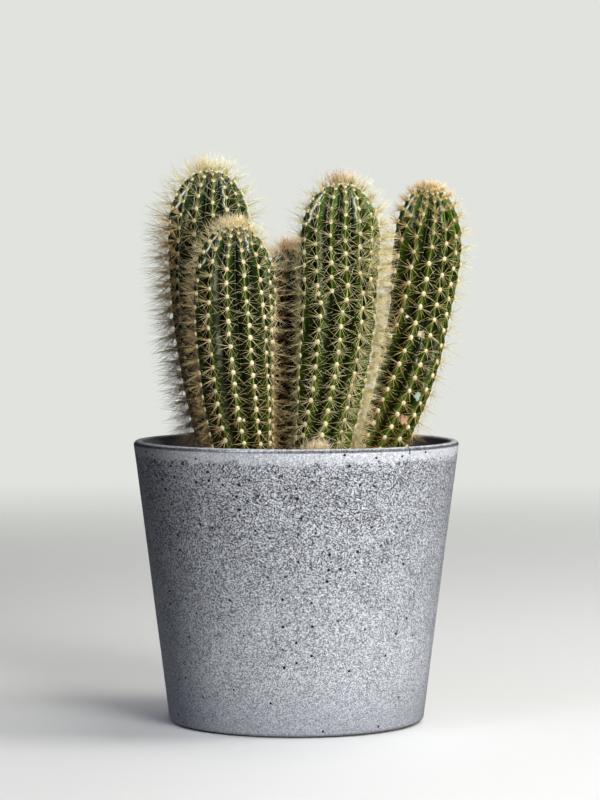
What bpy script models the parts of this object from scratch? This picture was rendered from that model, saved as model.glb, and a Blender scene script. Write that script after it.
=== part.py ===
"""A potted cactus: five ribbed, spiny stems and one small offset, in soil, in a tapered stoneware pot.

Metres, +Z up. The origin is the centre of the pot's foot, on the surface that the pot stands on.
+X is to the right and +Y away from someone who looks at the front of the plant.
Run with: blender --background --python part.py
"""

import math

import bmesh
import bpy
from mathutils import Matrix, Vector

# Pot
POT_HEIGHT = 0.130
RIM_RADIUS = 0.0754  # of the wall's outer line, carried up to the rim's height
WALL_SLOPE = 0.127  # metres out for each metre up
WALL = 0.0045
FLOOR = 0.0060
FOOT_RADIUS = 0.0565
FOOT_STEP = 0.0007  # the unglazed foot holds the glazed edge this far off the table
HEEL_ROUND = 0.0035
LIP_ROUND = 0.0018
INNER_CORNER = 0.0080
POT_SIDES = 64
ARC_STEPS = 3  # faces on each rounded corner of the pot
SHARP_ANGLE = math.radians(45)  # edges that turn more than this stay sharp in shading

# Soil
SOIL_TOP = 0.1160
SOIL_WAVE = 0.0008
RIPPLES = (170, 150, 90)  # radians per metre: across, front to back, and diagonally
DIAGONAL_SHARE = 0.6  # of the diagonal ripple, against the other two
SOIL_SIDES = 48
SOIL_RINGS = (0.25, 0.52, 0.78, 1.0)  # shares of the soil's radius
GAP = 0.0003  # between any two pieces that touch

# Stems
PLUG_DEPTH = 0.014  # the plain stub that stands in its hole in the soil
HOLE_SIDES = 24
HOLE_ABOVE = 0.006  # how far each hole's cutter stands above the soil
RIB_PHASES = (-0.2, 0.2, 0.5)  # points of one rib: a crest between two points, then its groove
SLOPE_STEP = 0.002  # share of a stem's height over which its direction and its swelling are taken
NEAR_TOP = 0.999  # the last share of height where a swelling is taken, just under the apex
RIB_DEPTH = 0.17  # groove depth as a share of the stem's radius
GROOVE_SHAPE = 2.2  # exponent of the fall from crest to groove: more is a rounder rib
RIB_FADE = 0.010  # the ribs die out over this height above the soil
DOME_SHAPE = 2.2  # exponent of the dome's outline: 2 is an ellipse, more is blunter
DOME_CLOSE = 0.6  # how far the last ring stays from the apex, in ring steps
WAIST_LENGTH = 0.12  # share of the stem's height that a waist reaches each way
FRONT = math.radians(-90)  # the direction of the viewer, from a stem's right side

# Spines
SPINE_ROOT_RADIUS = 0.00048
SPINE_SUNK = 0.0016
SPINE_SIDES = 3
SPINE_LEAN = math.radians(38)
SPINE_GAP = 0.0015  # least distance between the middles of two spines
SPINE_TO_STEM = 0.0012  # least distance from a spine's middle to another stem or the pot
SPINE_TO_SOIL = 0.0009
SPINE_STEPS = 8  # samples along a spine when its distances are taken
FIRST_STEP = 2  # the samples before this one are still inside the spine's own stem
SPINE_REACH = 2.4  # spines whose roots are further apart than this many lengths never meet
TALLEST = 1.05  # share of a stem's height above which nothing meets it
TILT_ALLOWANCE = (-0.05, 0.0, 0.05)  # a leaning stem's section isn't level, so these are tried
TILT_MARGIN = 1.03  # and its radius is taken this much larger
ROW_SHIFTS = (0.25, 0.75)  # of an even and an odd rib's spines, in rows
LEAN_SHARES = (0.6, 1.2, 1.6)  # other leans that are tried for a spine that is in the way
SPIN_TURNS = (0.0, 2.1, 4.2, 1.0)
GOLDEN_ANGLE = math.radians(137.5)
TOP_ROW = 0.965  # share of the stem's height where the rows end and the crown begins
CROWDED = 0.62  # above this share of the dome only every other rib carries a spine
CROWN_ROWS = ((0.985, 9), (0.997, 4))  # (share of height, spines)
CROWN_LEAN = 0.25
CROWN_LIFT = 1.2  # how strongly the crown's spines turn to the stem's own direction
CROWN_FROM = 0.9

# foot and tip are (x, y) at the soil and at the top. bend is how soon the stem turns upright.
# neck and belly are radii over the rib crests. pinch is a slight waist: (share of height, depth).
# crest is the angle in degrees from the front to the nearest rib, at the soil; the ribs wind by
# turn up to the top. fan is how far the front ribs stand apart, at the soil and at the top.
# rings are (below the dome, on the dome). low_row is the share of height of the lowest spines.
STEMS = {
    "stem_back_left": dict(
        foot=(-0.0310, 0.0210), tip=(-0.0410, 0.0260), top=0.2550, bend=2.7, neck=0.0130,
        belly=0.0199, dome=0.032, pinch=(0.5, 0.0), ribs=13, crest=8, turn=0, fan=(0.0, 0.0),
        rings=(9, 4), rows=11, low_row=0.055, spine=0.0095,
    ),
    "stem_front_left": dict(
        foot=(-0.0225, -0.0150), tip=(-0.0285, -0.0190), top=0.2286, bend=3.3, neck=0.0120,
        belly=0.0183, dome=0.030, pinch=(0.5, 0.0), ribs=12, crest=-2, turn=-10, fan=(0.06, 0.0),
        rings=(9, 4), rows=10, low_row=0.055, spine=0.0085,
    ),
    "stem_back_middle": dict(
        foot=(0.0005, 0.0270), tip=(-0.0010, 0.0330), top=0.2190, bend=2.5, neck=0.0115,
        belly=0.0165, dome=0.028, pinch=(0.5, 0.0), ribs=12, crest=4, turn=3, fan=(0.0, 0.0),
        rings=(9, 4), rows=9, low_row=0.055, spine=0.0090,
    ),
    "stem_centre": dict(
        foot=(0.0095, -0.0080), tip=(0.0204, -0.0095), top=0.2477, bend=2.6, neck=0.0117,
        belly=0.0186, dome=0.028, pinch=(0.62, 0.0006), ribs=13, crest=0, turn=12, fan=(0.22, -0.15),
        rings=(9, 4), rows=11, low_row=0.055, spine=0.0085,
    ),
    "stem_right": dict(
        foot=(0.0340, 0.0040), tip=(0.0630, 0.0060), top=0.2464, bend=2.1, neck=0.0098,
        belly=0.0155, dome=0.030, pinch=(0.55, 0.0012), ribs=11, crest=-14, turn=26, fan=(0.25, -0.08),
        rings=(9, 4), rows=11, low_row=0.055, spine=0.0080,
    ),
    "offset_pup": dict(
        foot=(0.0090, -0.0320), tip=(0.0092, -0.0335), top=0.1280, bend=1.5, neck=0.0040,
        belly=0.0056, dome=0.008, pinch=(0.5, 0.0), ribs=9, crest=0, turn=0, fan=(0.0, 0.0),
        rings=(2, 2), rows=2, low_row=0.30, spine=0.0070,
    ),
}


def clear_scene():
    for obj in list(bpy.data.objects):
        bpy.data.objects.remove(obj)


def material(name, colour, roughness):
    made = bpy.data.materials.new(name)
    made.use_nodes = True
    shader = made.node_tree.nodes["Principled BSDF"]
    shader.inputs["Base Color"].default_value = (*colour, 1.0)
    shader.inputs["Roughness"].default_value = roughness
    shader.inputs["Metallic"].default_value = 0.0
    return made


def object_from(name, mesh, finish):
    obj = bpy.data.objects.new(name, mesh)
    bpy.context.scene.collection.objects.link(obj)
    if finish:
        mesh.materials.append(finish)
    return obj


def mesh_from(name, points, faces):
    mesh = bpy.data.meshes.new(name)
    mesh.from_pydata([tuple(p) for p in points], [], faces)
    mesh.validate()
    return mesh


def rings_to_mesh(name, rings, bottom, top):
    """Joins rings of equal point counts, lowest first, and closes both ends with a fan to a point."""
    count = len(rings[0])
    points = [p for ring in rings for p in ring] + [bottom, top]
    low, high = len(points) - 2, len(points) - 1
    last = (len(rings) - 1) * count
    faces = []
    for i in range(count):
        j = (i + 1) % count
        faces.append((low, j, i))
        for row in range(len(rings) - 1):
            a, b = row * count, (row + 1) * count
            faces.append((a + i, a + j, b + j, b + i))
        faces.append((last + i, last + j, high))
    return mesh_from(name, points, faces)


def arc(centre, radius, start, end):
    """Points of a round corner in the pot's outline, as (radius, height); angles in degrees."""
    angles = [math.radians(start + (end - start) * k / ARC_STEPS) for k in range(ARC_STEPS + 1)]
    return [(centre[0] + radius * math.cos(a), centre[1] + radius * math.sin(a)) for a in angles]


def outer_radius(height):
    return RIM_RADIUS - WALL_SLOPE * (POT_HEIGHT - height)


def inner_radius(height):
    return outer_radius(height) - WALL


def turned(name, outline, sides):
    """A closed body of revolution. The outline runs from the axis at the bottom to the axis at the top."""
    def ring(radius, height):
        steps = [2 * math.pi * i / sides for i in range(sides)]
        return [(radius * math.cos(a), radius * math.sin(a), height) for a in steps]

    rings = [ring(r, z) for r, z in outline[1:-1]]
    return rings_to_mesh(name, rings, (0, 0, outline[0][1]), (0, 0, outline[-1][1]))


def make_pot(finish):
    heel_height = FOOT_STEP + HEEL_ROUND
    heel = arc((outer_radius(heel_height) - HEEL_ROUND, heel_height), HEEL_ROUND, -80, 0)
    lip_height = POT_HEIGHT - LIP_ROUND
    outer_lip = arc((outer_radius(POT_HEIGHT) - LIP_ROUND, lip_height), LIP_ROUND, 0, 90)
    inner_lip = arc((inner_radius(POT_HEIGHT) + LIP_ROUND, lip_height), LIP_ROUND, 90, 180)
    inner_base = FLOOR + INNER_CORNER
    corner = arc((inner_radius(inner_base) - INNER_CORNER, inner_base), INNER_CORNER, 0, -90)
    outline = [
        (0, 0), (FOOT_RADIUS, 0), (FOOT_RADIUS + FOOT_STEP, FOOT_STEP), *heel,
        *outer_lip, *inner_lip, *corner, (0, FLOOR),
    ]
    mesh = turned("pot", outline, POT_SIDES)
    mesh.shade_smooth()
    mesh.set_sharp_from_angle(angle=SHARP_ANGLE)
    return object_from("pot", mesh, finish)


def soil_height(x, y):
    """The soil is highest, at SOIL_TOP, only here and there."""
    across, back, diagonal = RIPPLES
    wave = math.sin(across * x + 1) * math.cos(back * y) + DIAGONAL_SHARE * math.sin(diagonal * (x + y))
    return SOIL_TOP + SOIL_WAVE * (wave - 1 - DIAGONAL_SHARE)


def make_soil(finish):
    """Soil that fills the pot. Its top is gently uneven, and its corner clears the pot's inner corner."""
    steps = [2 * math.pi * i / SOIL_SIDES for i in range(SOIL_SIDES)]
    floor = FLOOR + GAP
    shoulder = floor + INNER_CORNER
    wide = inner_radius(shoulder) - 2 * GAP
    top_radius = inner_radius(SOIL_TOP) - 3 * GAP

    def level(radius, height):
        return [(radius * math.cos(a), radius * math.sin(a), height) for a in steps]

    def surface(radius):
        places = [(radius * math.cos(a), radius * math.sin(a)) for a in steps]
        return [(x, y, soil_height(x, y)) for x, y in places]

    rings = [level(wide - INNER_CORNER, floor), level(wide, shoulder)]
    rings += [surface(top_radius * share) for share in reversed(SOIL_RINGS)]
    mesh = rings_to_mesh("potting_soil", rings, (0, 0, floor), (0, 0, soil_height(0, 0)))
    soil = object_from("potting_soil", mesh, finish)
    for stem in STEMS.values():
        cut_hole(soil, stem)
    return soil


def cut_hole(soil, stem):
    """A plain round hole in line with the stem's stub, a gap wider and deeper than it."""
    below = plug_point(stem, PLUG_DEPTH + GAP)
    above = plug_point(stem, -HOLE_ABOVE)
    radius = stem["neck"] + GAP
    bm = bmesh.new()
    bmesh.ops.create_cone(
        bm, cap_ends=True, segments=HOLE_SIDES, radius1=radius, radius2=radius,
        depth=(above - below).length,
    )
    mesh = bpy.data.meshes.new("hole")
    bm.to_mesh(mesh)
    bm.free()
    turn = (above - below).to_track_quat("Z", "Y").to_matrix().to_4x4()
    mesh.transform(Matrix.Translation((above + below) / 2) @ turn)
    cutter = object_from("hole", mesh, None)
    boolean(soil, "DIFFERENCE", "EXACT", cutter)
    bpy.data.objects.remove(cutter)


def boolean(obj, operation, solver, other):
    """Applies one Boolean. other is an object, or a collection of objects."""
    modifier = obj.modifiers.new("join", "BOOLEAN")
    modifier.operation = operation
    modifier.solver = solver
    if isinstance(other, bpy.types.Collection):
        modifier.operand_type = "COLLECTION"
        modifier.collection = other
    else:
        modifier.object = other
    bpy.context.view_layer.update()
    graph = bpy.context.evaluated_depsgraph_get()
    joined = bpy.data.meshes.new_from_object(obj.evaluated_get(graph))
    obj.modifiers.clear()
    obj.data = joined


# Where a stem runs. rise is 0 at the soil and 1 at the top.

def axis_point(stem, rise):
    eased = 1 - (1 - rise) ** stem["bend"]
    x = stem["foot"][0] + (stem["tip"][0] - stem["foot"][0]) * eased
    y = stem["foot"][1] + (stem["tip"][1] - stem["foot"][1]) * eased
    return Vector((x, y, SOIL_TOP + (stem["top"] - SOIL_TOP) * rise))


def axis_direction(stem, rise):
    low, high = max(0.0, rise - SLOPE_STEP), min(1.0, rise + SLOPE_STEP)
    return (axis_point(stem, high) - axis_point(stem, low)).normalized()


def plug_point(stem, depth):
    """A point of the stub's axis, this far below the soil's level; the stub goes on straight."""
    return axis_point(stem, 0) - axis_direction(stem, 0) * depth


def side_axes(direction):
    """Two directions across the stem: to its right and away from the viewer."""
    right = (Vector((1, 0, 0)) - direction * direction.x).normalized()
    return right, direction.cross(right)


def dome_start(stem):
    return 1 - stem["dome"] / (stem["top"] - SOIL_TOP)


def girth(stem, rise):
    """Radius over the rib crests."""
    start = dome_start(stem)
    place, depth = stem["pinch"]
    waist = depth * math.exp(-(((rise - place) / WAIST_LENGTH) ** 2))
    if rise <= start:
        swell = math.sin(math.pi / 2 * max(rise, 0) / start)
        return stem["neck"] + (stem["belly"] - stem["neck"]) * swell - waist
    up = min(1.0, (rise - start) / (1 - start))
    return stem["belly"] * (1 - up**DOME_SHAPE) ** (1 / DOME_SHAPE) - waist * (1 - up)


def rib_factor(stem, rise, phase):
    """Share of the girth left at a point of the section. phase is 0 on a crest and 0.5 in a groove."""
    height = rise * (stem["top"] - SOIL_TOP)
    fade = min(1.0, max(0.0, height / RIB_FADE))
    away = abs((phase + 0.5) % 1.0 - 0.5) * 2
    return 1 - RIB_DEPTH * fade * away**GROOVE_SHAPE


def section(stem, rise):
    """One ring of points round the stem, square to its axis."""
    centre = axis_point(stem, rise)
    right, back = side_axes(axis_direction(stem, rise))
    radius = girth(stem, rise)
    ring = []
    for rib in range(stem["ribs"]):
        for phase in RIB_PHASES:
            angle = rib_angle(stem, rise, rib + phase)
            reach = radius * rib_factor(stem, rise, phase)
            ring.append(centre + (right * math.cos(angle) + back * math.sin(angle)) * reach)
    return ring


def rib_angle(stem, rise, rib):
    """Angle round the stem, from its right side. Ribs wind slightly, and close up, as they climb."""
    from_front = 2 * math.pi * rib / stem["ribs"] + math.radians(stem["crest"] + stem["turn"] * rise)
    at_soil, at_top = stem["fan"]
    return FRONT + from_front + (at_soil + (at_top - at_soil) * rise) * math.sin(from_front)


def stub_ring(stem):
    """The bottom of the stub: the ring at the soil without its ribs, moved straight down."""
    centre = plug_point(stem, PLUG_DEPTH)
    right, back = side_axes(axis_direction(stem, 0))
    angles = [rib_angle(stem, 0, rib + phase) for rib in range(stem["ribs"]) for phase in RIB_PHASES]
    return [centre + (right * math.cos(a) + back * math.sin(a)) * stem["neck"] for a in angles]


def make_stem_body(name, stem, finish):
    start = dome_start(stem)
    low, high = stem["rings"]
    rises = [start * k / low for k in range(low + 1)]
    # rings crowd towards the top of the dome, where the outline turns fastest
    steps = [math.sin(math.pi / 2 * k / (high + DOME_CLOSE)) for k in range(1, high + 1)]
    rises += [start + (1 - start) * step for step in steps]
    rings = [stub_ring(stem), *[section(stem, rise) for rise in rises]]
    mesh = rings_to_mesh(name, rings, plug_point(stem, PLUG_DEPTH), axis_point(stem, 1))
    mesh.shade_smooth()
    mesh.set_sharp_from_angle(angle=SHARP_ANGLE)
    return object_from(name, mesh, finish)


def surface_point(stem, rise, angle_rib):
    """A point on a rib's crest, the way out of the surface there, and the way up along the rib."""
    centre = axis_point(stem, rise)
    along = axis_direction(stem, rise)
    right, back = side_axes(along)
    angle = rib_angle(stem, rise, angle_rib)
    out = right * math.cos(angle) + back * math.sin(angle)
    low, high = rise - SLOPE_STEP, min(rise + SLOPE_STEP, NEAR_TOP)
    grown = girth(stem, high) - girth(stem, low)
    climbed = (high - low) * (stem["top"] - SOIL_TOP)
    up = (along * climbed + out * grown).normalized()
    normal = (out * climbed - along * grown).normalized()
    return centre + out * girth(stem, rise), normal, up


def segment_distance(a, b, c, d):
    """Least distance between the segments ab and cd, sampled finely enough for spines."""
    least = 1.0
    span = d - c
    for k in range(SPINE_STEPS + 1):
        p = a + (b - a) * (k / SPINE_STEPS)
        t = max(0.0, min(1.0, (p - c).dot(span) / span.length_squared))
        least = min(least, (c + span * t - p).length)
    return least


def clear_of_bodies(name, root, tip):
    """True where a spine stays out of the soil, the pot and every other stem."""
    for k in range(FIRST_STEP, SPINE_STEPS + 1):
        p = root + (tip - root) * (k / SPINE_STEPS)
        if p.z < soil_height(p.x, p.y) + SPINE_TO_SOIL:
            return False
        below_rim = p.z < POT_HEIGHT + SPINE_TO_STEM
        if below_rim and math.hypot(p.x, p.y) > inner_radius(p.z) - SPINE_TO_STEM:
            return False
        for other, stem in STEMS.items():
            if other == name:
                continue
            rise = (p.z - SOIL_TOP) / (stem["top"] - SOIL_TOP)
            if rise > TALLEST:
                continue
            rise = min(1.0, max(0.0, rise))
            away = (p - axis_point(stem, rise)).length
            widest = max(girth(stem, min(rise + shift, NEAR_TOP)) for shift in TILT_ALLOWANCE)
            if away < widest * TILT_MARGIN + SPINE_TO_STEM:
                return False
    return True


def spine_places(stem):
    """(rib, rise, lean, spin) for each spine, spread evenly over the stem, then the crown's."""
    crowded = dome_start(stem) + CROWDED * (1 - dome_start(stem))
    places = []
    for row in range(stem["rows"]):
        for rib in range(stem["ribs"]):
            share = (row + ROW_SHIFTS[rib % 2]) / stem["rows"]
            rise = stem["low_row"] + (TOP_ROW - stem["low_row"]) * share
            if rise < crowded or rib % 2 == 0:
                places.append((rib, min(rise, TOP_ROW), SPINE_LEAN, GOLDEN_ANGLE * len(places)))
    for rise, count in CROWN_ROWS:
        places += [(stem["ribs"] * k / count, rise, CROWN_LEAN, 0.0) for k in range(count)]
    return places


def spine_segment(stem, rib, rise, lean, spin):
    """Root and tip of a spine that leans from the surface's normal, to the side given by spin."""
    point, normal, up = surface_point(stem, rise, rib)
    side = normal.cross(up)
    way = normal * math.cos(lean) + (up * math.cos(spin) + side * math.sin(spin)) * math.sin(lean)
    crown = max(0.0, (rise - CROWN_FROM) / (1 - CROWN_FROM))
    way = (way + axis_direction(stem, rise) * CROWN_LIFT * crown).normalized()
    return point - way * SPINE_SUNK, point + way * stem["spine"]


def choose_spines():
    """Spines for every stem. One that would cross another piece is bent clear, or left out."""
    chosen = []
    for name, stem in STEMS.items():
        for rib, rise, lean, spin in spine_places(stem):
            tries = [(lean, spin)]
            tries += [(lean * share, spin + turn) for share in LEAN_SHARES for turn in SPIN_TURNS]
            for tilt, heading in tries:
                root, tip = spine_segment(stem, rib, rise, tilt, heading)
                if clear_of_bodies(name, root, tip) and clear_of_spines(chosen, root, tip):
                    chosen.append((name, root, tip))
                    break
    return chosen


def clear_of_spines(chosen, root, tip):
    reach = SPINE_REACH * (tip - root).length
    near = [(a, b) for _, a, b in chosen if (a - root).length < reach]
    return all(segment_distance(root, tip, a, b) > SPINE_GAP for a, b in near)


def spine_object(root, tip, collection):
    turn = (tip - root).to_track_quat("Z", "Y").to_matrix()
    ring = []
    for k in range(SPINE_SIDES):
        angle = 2 * math.pi * k / SPINE_SIDES
        ring.append(root + turn @ Vector((math.cos(angle), math.sin(angle), 0)) * SPINE_ROOT_RADIUS)
    sides = [(k, (k + 1) % SPINE_SIDES, SPINE_SIDES) for k in range(SPINE_SIDES)]
    mesh = mesh_from("spine", [*ring, tip], [*sides, tuple(reversed(range(SPINE_SIDES)))])
    obj = bpy.data.objects.new("spine", mesh)
    collection.objects.link(obj)


def add_spines(body, spines):
    """Fuses a stem's spines to it."""
    group = bpy.data.collections.new("spines")
    bpy.context.scene.collection.children.link(group)
    for root, tip in spines:
        spine_object(root, tip, group)
    boolean(body, "UNION", "MANIFOLD", group)
    for obj in list(group.objects):
        bpy.data.objects.remove(obj)
    bpy.data.collections.remove(group)


def main():
    clear_scene()
    make_pot(material("speckled_stoneware_glaze", (0.19, 0.20, 0.22), 0.35))
    make_soil(material("potting_soil", (0.045, 0.028, 0.018), 0.95))
    green = material("cactus_skin", (0.035, 0.085, 0.025), 0.45)
    spines = choose_spines()
    for name, stem in STEMS.items():
        body = make_stem_body(name, stem, green)
        add_spines(body, [(root, tip) for owner, root, tip in spines if owner == name])


main()
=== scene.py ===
import math
import random
from functools import partial

import bpy
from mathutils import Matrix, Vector, noise


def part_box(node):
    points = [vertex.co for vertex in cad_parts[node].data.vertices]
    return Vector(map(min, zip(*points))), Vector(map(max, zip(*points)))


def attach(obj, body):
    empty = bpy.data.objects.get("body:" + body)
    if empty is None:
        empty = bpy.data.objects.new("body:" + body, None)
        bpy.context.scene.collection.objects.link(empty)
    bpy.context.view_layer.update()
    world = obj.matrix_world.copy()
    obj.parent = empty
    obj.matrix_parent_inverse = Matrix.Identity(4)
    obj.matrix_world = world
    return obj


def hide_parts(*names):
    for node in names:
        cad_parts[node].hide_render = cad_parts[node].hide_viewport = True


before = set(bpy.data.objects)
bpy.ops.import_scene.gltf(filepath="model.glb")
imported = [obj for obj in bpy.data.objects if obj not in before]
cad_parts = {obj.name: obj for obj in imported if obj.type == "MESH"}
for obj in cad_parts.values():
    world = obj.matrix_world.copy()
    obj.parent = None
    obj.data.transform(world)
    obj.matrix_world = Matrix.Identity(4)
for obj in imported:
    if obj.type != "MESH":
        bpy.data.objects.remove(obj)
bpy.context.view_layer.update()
print("frame loaded:", sorted(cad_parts))

body = "root"            # nothing on a potted plant moves, so there is one body
mm = 0.001


# small tools that every piece uses

def linear(hexColour):
    channels = [int(hexColour[i:i + 2], 16) / 255 for i in (1, 3, 5)]
    return (*[c / 12.92 if c <= 0.04045 else ((c + 0.055) / 1.055) ** 2.4 for c in channels], 1.0)


def addNode(tree, kind, *values, output=0, **settings):
    # adds one node and hands back the output that is wanted; kind is its type without the family,
    # with its operation after a space, and values fill or link its inputs in order, or in a
    # dictionary by number or name
    kind, _, operation = kind.partition(" ")
    if operation:
        settings["operation"] = operation
    family = next(f for f in ("Shader", "Geometry", "Function", "") if hasattr(bpy.types, f + "Node" + kind))
    node = tree.nodes.new(family + "Node" + kind)
    for name, value in settings.items():
        setattr(node, name, value)
    inputs = {}
    for value in values:
        inputs.update(value if isinstance(value, dict) else {len(inputs): value})
    for socket, value in inputs.items():
        if isinstance(value, bpy.types.NodeSocket):
            tree.links.new(value, node.inputs[socket])
        else:
            node.inputs[socket].default_value = value
    return node.outputs[output] if len(node.outputs) else node


def connect(node, **links):
    for socket, value in links.items():
        node.id_data.links.new(value, node.inputs[socket.replace("_", " ")])


def newMaterial(name, **sockets):
    # a Principled material; the sockets that are the same all over are set straight on the shader
    material = bpy.data.materials.new(name)
    material.use_nodes = True
    shader = material.node_tree.nodes["Principled BSDF"]
    for socket, value in sockets.items():
        shader.inputs[socket.replace("_", " ")].default_value = value
    return material, partial(addNode, material.node_tree), shader


def layColours(add, colour, layers):
    # each colour goes over those before it, by its share
    for share, shade in layers:
        colour = add("Mix", {0: share, 6: colour, 7: linear(shade)}, output=2, data_type="RGBA")
    return colour


def smooth(value, low, high):
    share = min(1.0, max(0.0, (value - low) / (high - low)))
    return share * share * (3 - 2 * share)


def addObject(name, data):
    made = bpy.data.objects.new(name, data)
    bpy.context.scene.collection.objects.link(made)
    return made


def growPiece(name, guideMesh, build, sizes):
    # builds a geometry tree with these sizes as its named inputs, runs it on a guide mesh and
    # keeps the result as a plain mesh at the origin
    tree = bpy.data.node_groups.new(name, "GeometryNodeTree")
    for side in ("OUTPUT", "INPUT"):
        tree.interface.new_socket("Geometry", in_out=side, socket_type="NodeSocketGeometry")
    kinds = {int: "Int", float: "Float", list: "Vector", bpy.types.Material: "Material"}
    sockets = {label: tree.interface.new_socket(
        label, in_out="INPUT", socket_type="NodeSocket" + kinds[type(size)]) for label, size in sizes.items()}
    add = partial(addNode, tree)
    made = build(add, tree.nodes.new("NodeGroupInput").outputs)
    add("GroupOutput", add("RealizeInstances", made))
    guide = addObject(name + "_guide", guideMesh)
    modifier = guide.modifiers.new(name, "NODES")
    modifier.node_group = tree
    for label, size in sizes.items():
        modifier[sockets[label].identifier] = size
    graph = bpy.context.evaluated_depsgraph_get()
    grown = bpy.data.meshes.new_from_object(
        guide.evaluated_get(graph), preserve_all_data_layers=True, depsgraph=graph)
    bpy.data.objects.remove(guide)
    grown.name = name
    return addObject(name, grown)


def meshWithValues(name, points, faces, values, edges=()):
    # a mesh whose points carry the values in this dictionary: numbers, vectors or colours
    mesh = bpy.data.meshes.new(name)
    mesh.from_pydata(points, edges, faces)
    for label, numbers in values.items():
        width = 1 if isinstance(numbers[0], (int, float)) else len(numbers[0])
        kind, field = {
            1: ("FLOAT", "value"), 3: ("FLOAT_VECTOR", "vector"), 4: ("FLOAT_COLOR", "color")}[width]
        flat = numbers if width == 1 else [c for value in numbers for c in value]
        mesh.attributes.new(label, kind, "POINT").data.foreach_set(field, flat)
    return mesh


def roundMesh(name, sides, rings, heightAt=None, base=None):
    # a round mesh from its middle out through rings of (radius, height); a ring with no height
    # follows heightAt, and base closes the mesh underneath
    turns = [(math.cos(2 * math.pi * k / sides), math.sin(2 * math.pi * k / sides)) for k in range(sides)]
    points = [(0, 0, heightAt(0, 0) if heightAt else 0)]
    for radius, height in rings:
        ring = [(radius * c, radius * s) for c, s in turns]
        points += [(x, y, heightAt(x, y) if height is None else height) for x, y in ring]
    faces = [(0, 1 + k, 1 + (k + 1) % sides) for k in range(sides)]
    for ring in range(len(rings) - 1):
        a, b = 1 + ring * sides, 1 + (ring + 1) * sides
        faces += [(a + k, b + k, b + (k + 1) % sides, a + (k + 1) % sides) for k in range(sides)]
    if base is not None:
        last = len(points) - sides
        points.append((0, 0, base))
        faces += [(len(points) - 1, last + (k + 1) % sides, last + k) for k in range(sides)]
    return meshWithValues(name, points, faces, {})


def triangleCount(piece):
    piece.data.calc_loop_triangles()
    return len(piece.data.loop_triangles)


# camera, at the photograph's height, distance and tilt

camera = {"lens": 135.0, "place": (0.0017, -1.387, 0.210), "down": 2.54}


def placeCamera():
    data = bpy.data.cameras.new("camera")
    data.lens = camera["lens"]
    data.clip_start = 0.05
    data.clip_end = 50
    eye = addObject("camera", data)
    eye.location = camera["place"]
    eye.rotation_euler = (math.radians(90 - camera["down"]), 0, 0)
    bpy.context.scene.camera = eye


# floor, backdrop and lights

studio = {
    "floorRings": (0.3, 0.9, 1.8, 3.0), "floorSides": 96, "floorFade": (0.5, 1.6), "floorColour": "#cfd0cf",
    "bounceColour": "#3e3f3d", "backdropColour": "#d9dcd6", "backdropLight": 1.08, "fillLight": 0.02,
}


def makeFloor():
    # a pale board that fades into the backdrop, so that no horizon line shows behind the plant
    rings = [(radius, 0) for radius in studio["floorRings"]]
    floor = addObject("floor", roundMesh("floor", studio["floorSides"], rings))
    material, add, shader = newMaterial("matte_white_board", Roughness=0.7)
    seen = add("LightPath")      # a darker bounce keeps the pot's far side in shade
    colour = layColours(add, linear(studio["bounceColour"]), [(seen, studio["floorColour"])])
    away = add("VectorMath LENGTH", add("TexCoord", output=3), output=1)
    fade = add("MapRange", away, *studio["floorFade"], 1.0, 0.0, interpolation_type="SMOOTHSTEP")
    connect(shader, Base_Color=colour, Alpha=fade)
    floor.data.materials.append(material)


def makeBackdrop():
    world = bpy.data.worlds.new("plain backdrop")
    bpy.context.scene.world = world
    world.use_nodes = True
    background = world.node_tree.nodes["Background"]
    background.inputs["Color"].default_value = linear(studio["backdropColour"])
    shown = addNode(world.node_tree, "LightPath")
    connect(background, Strength=addNode(
        world.node_tree, "MapRange", shown, {3: studio["fillLight"], 4: studio["backdropLight"]}))


lights = {
    # name: (degrees to the right of the camera, degrees up, distance, width, height, watts, colour)
    "lowKeySoftbox": (30, 8, 1.4, 0.55, 0.40, 21.5, "#ffffff"),
    "highKeySoftbox": (30, 45, 1.4, 0.55, 0.40, 7.0, "#ffffff"),
    "sideSoftbox": (85, 42, 1.4, 0.60, 0.50, 11.0, "#ffffff"),
    "overheadSoftbox": (110, 72, 1.3, 0.70, 0.70, 7.0, "#fffaf2"),
    "glossStrip": (-42, 48, 1.3, 0.30, 1.20, 125.0, "#eaf0ff"),
    "backSoftbox": (155, 38, 1.4, 0.70, 0.50, 5.0, "#ffffff"),
}


def makeLights():
    aim = Vector((0, 0, 0.12))
    for name, (around, up, distance, width, height, watts, colour) in lights.items():
        around, up = math.radians(around), math.radians(up)
        level = distance * math.cos(up)
        place = aim + Vector((level * math.sin(around), -level * math.cos(around), distance * math.sin(up)))
        data = bpy.data.lights.new(name, "AREA")
        data.shape = "RECTANGLE"
        data.size, data.size_y = width, height
        data.energy = watts
        data.color = linear(colour)[:3]
        lamp = addObject(name, data)
        lamp.location = place
        lamp.rotation_euler = (aim - place).to_track_quat("-Z", "Y").to_euler()
        lamp.visible_diffuse = name != "glossStrip"      # the strip only draws highlights on glossy skin
        lamp.visible_glossy = name != "backSoftbox"      # and the back one only fills the shade behind


bpy.context.scene.view_settings.view_transform = "Standard"
placeCamera()
makeFloor()
makeBackdrop()
makeLights()
print("studio ready")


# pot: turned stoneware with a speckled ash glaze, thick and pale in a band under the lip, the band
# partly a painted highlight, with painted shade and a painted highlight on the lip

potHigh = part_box("pot")[1]
pot = {
    "height": potHigh.z, "rimRadius": potHigh.x, "slope": 0.127, "wall": 4.5 * mm, "floor": 6.0 * mm,
    "footRadius": 56.5 * mm, "footStep": 0.7 * mm, "footRound": 0.2 * mm, "heelRound": 3.5 * mm,
    "lipRound": 1.8 * mm, "innerRound": 8.0 * mm, "roundSteps": 6, "sides": 160, "ringStep": 4.0 * mm,
    "bead": 0.35 * mm, "beadHeight": 125.4 * mm, "beadWidth": 2.4 * mm, "wobble": 0.18 * mm,
}


def outerRadius(height):
    return pot["rimRadius"] - pot["slope"] * (pot["height"] - height)


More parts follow.
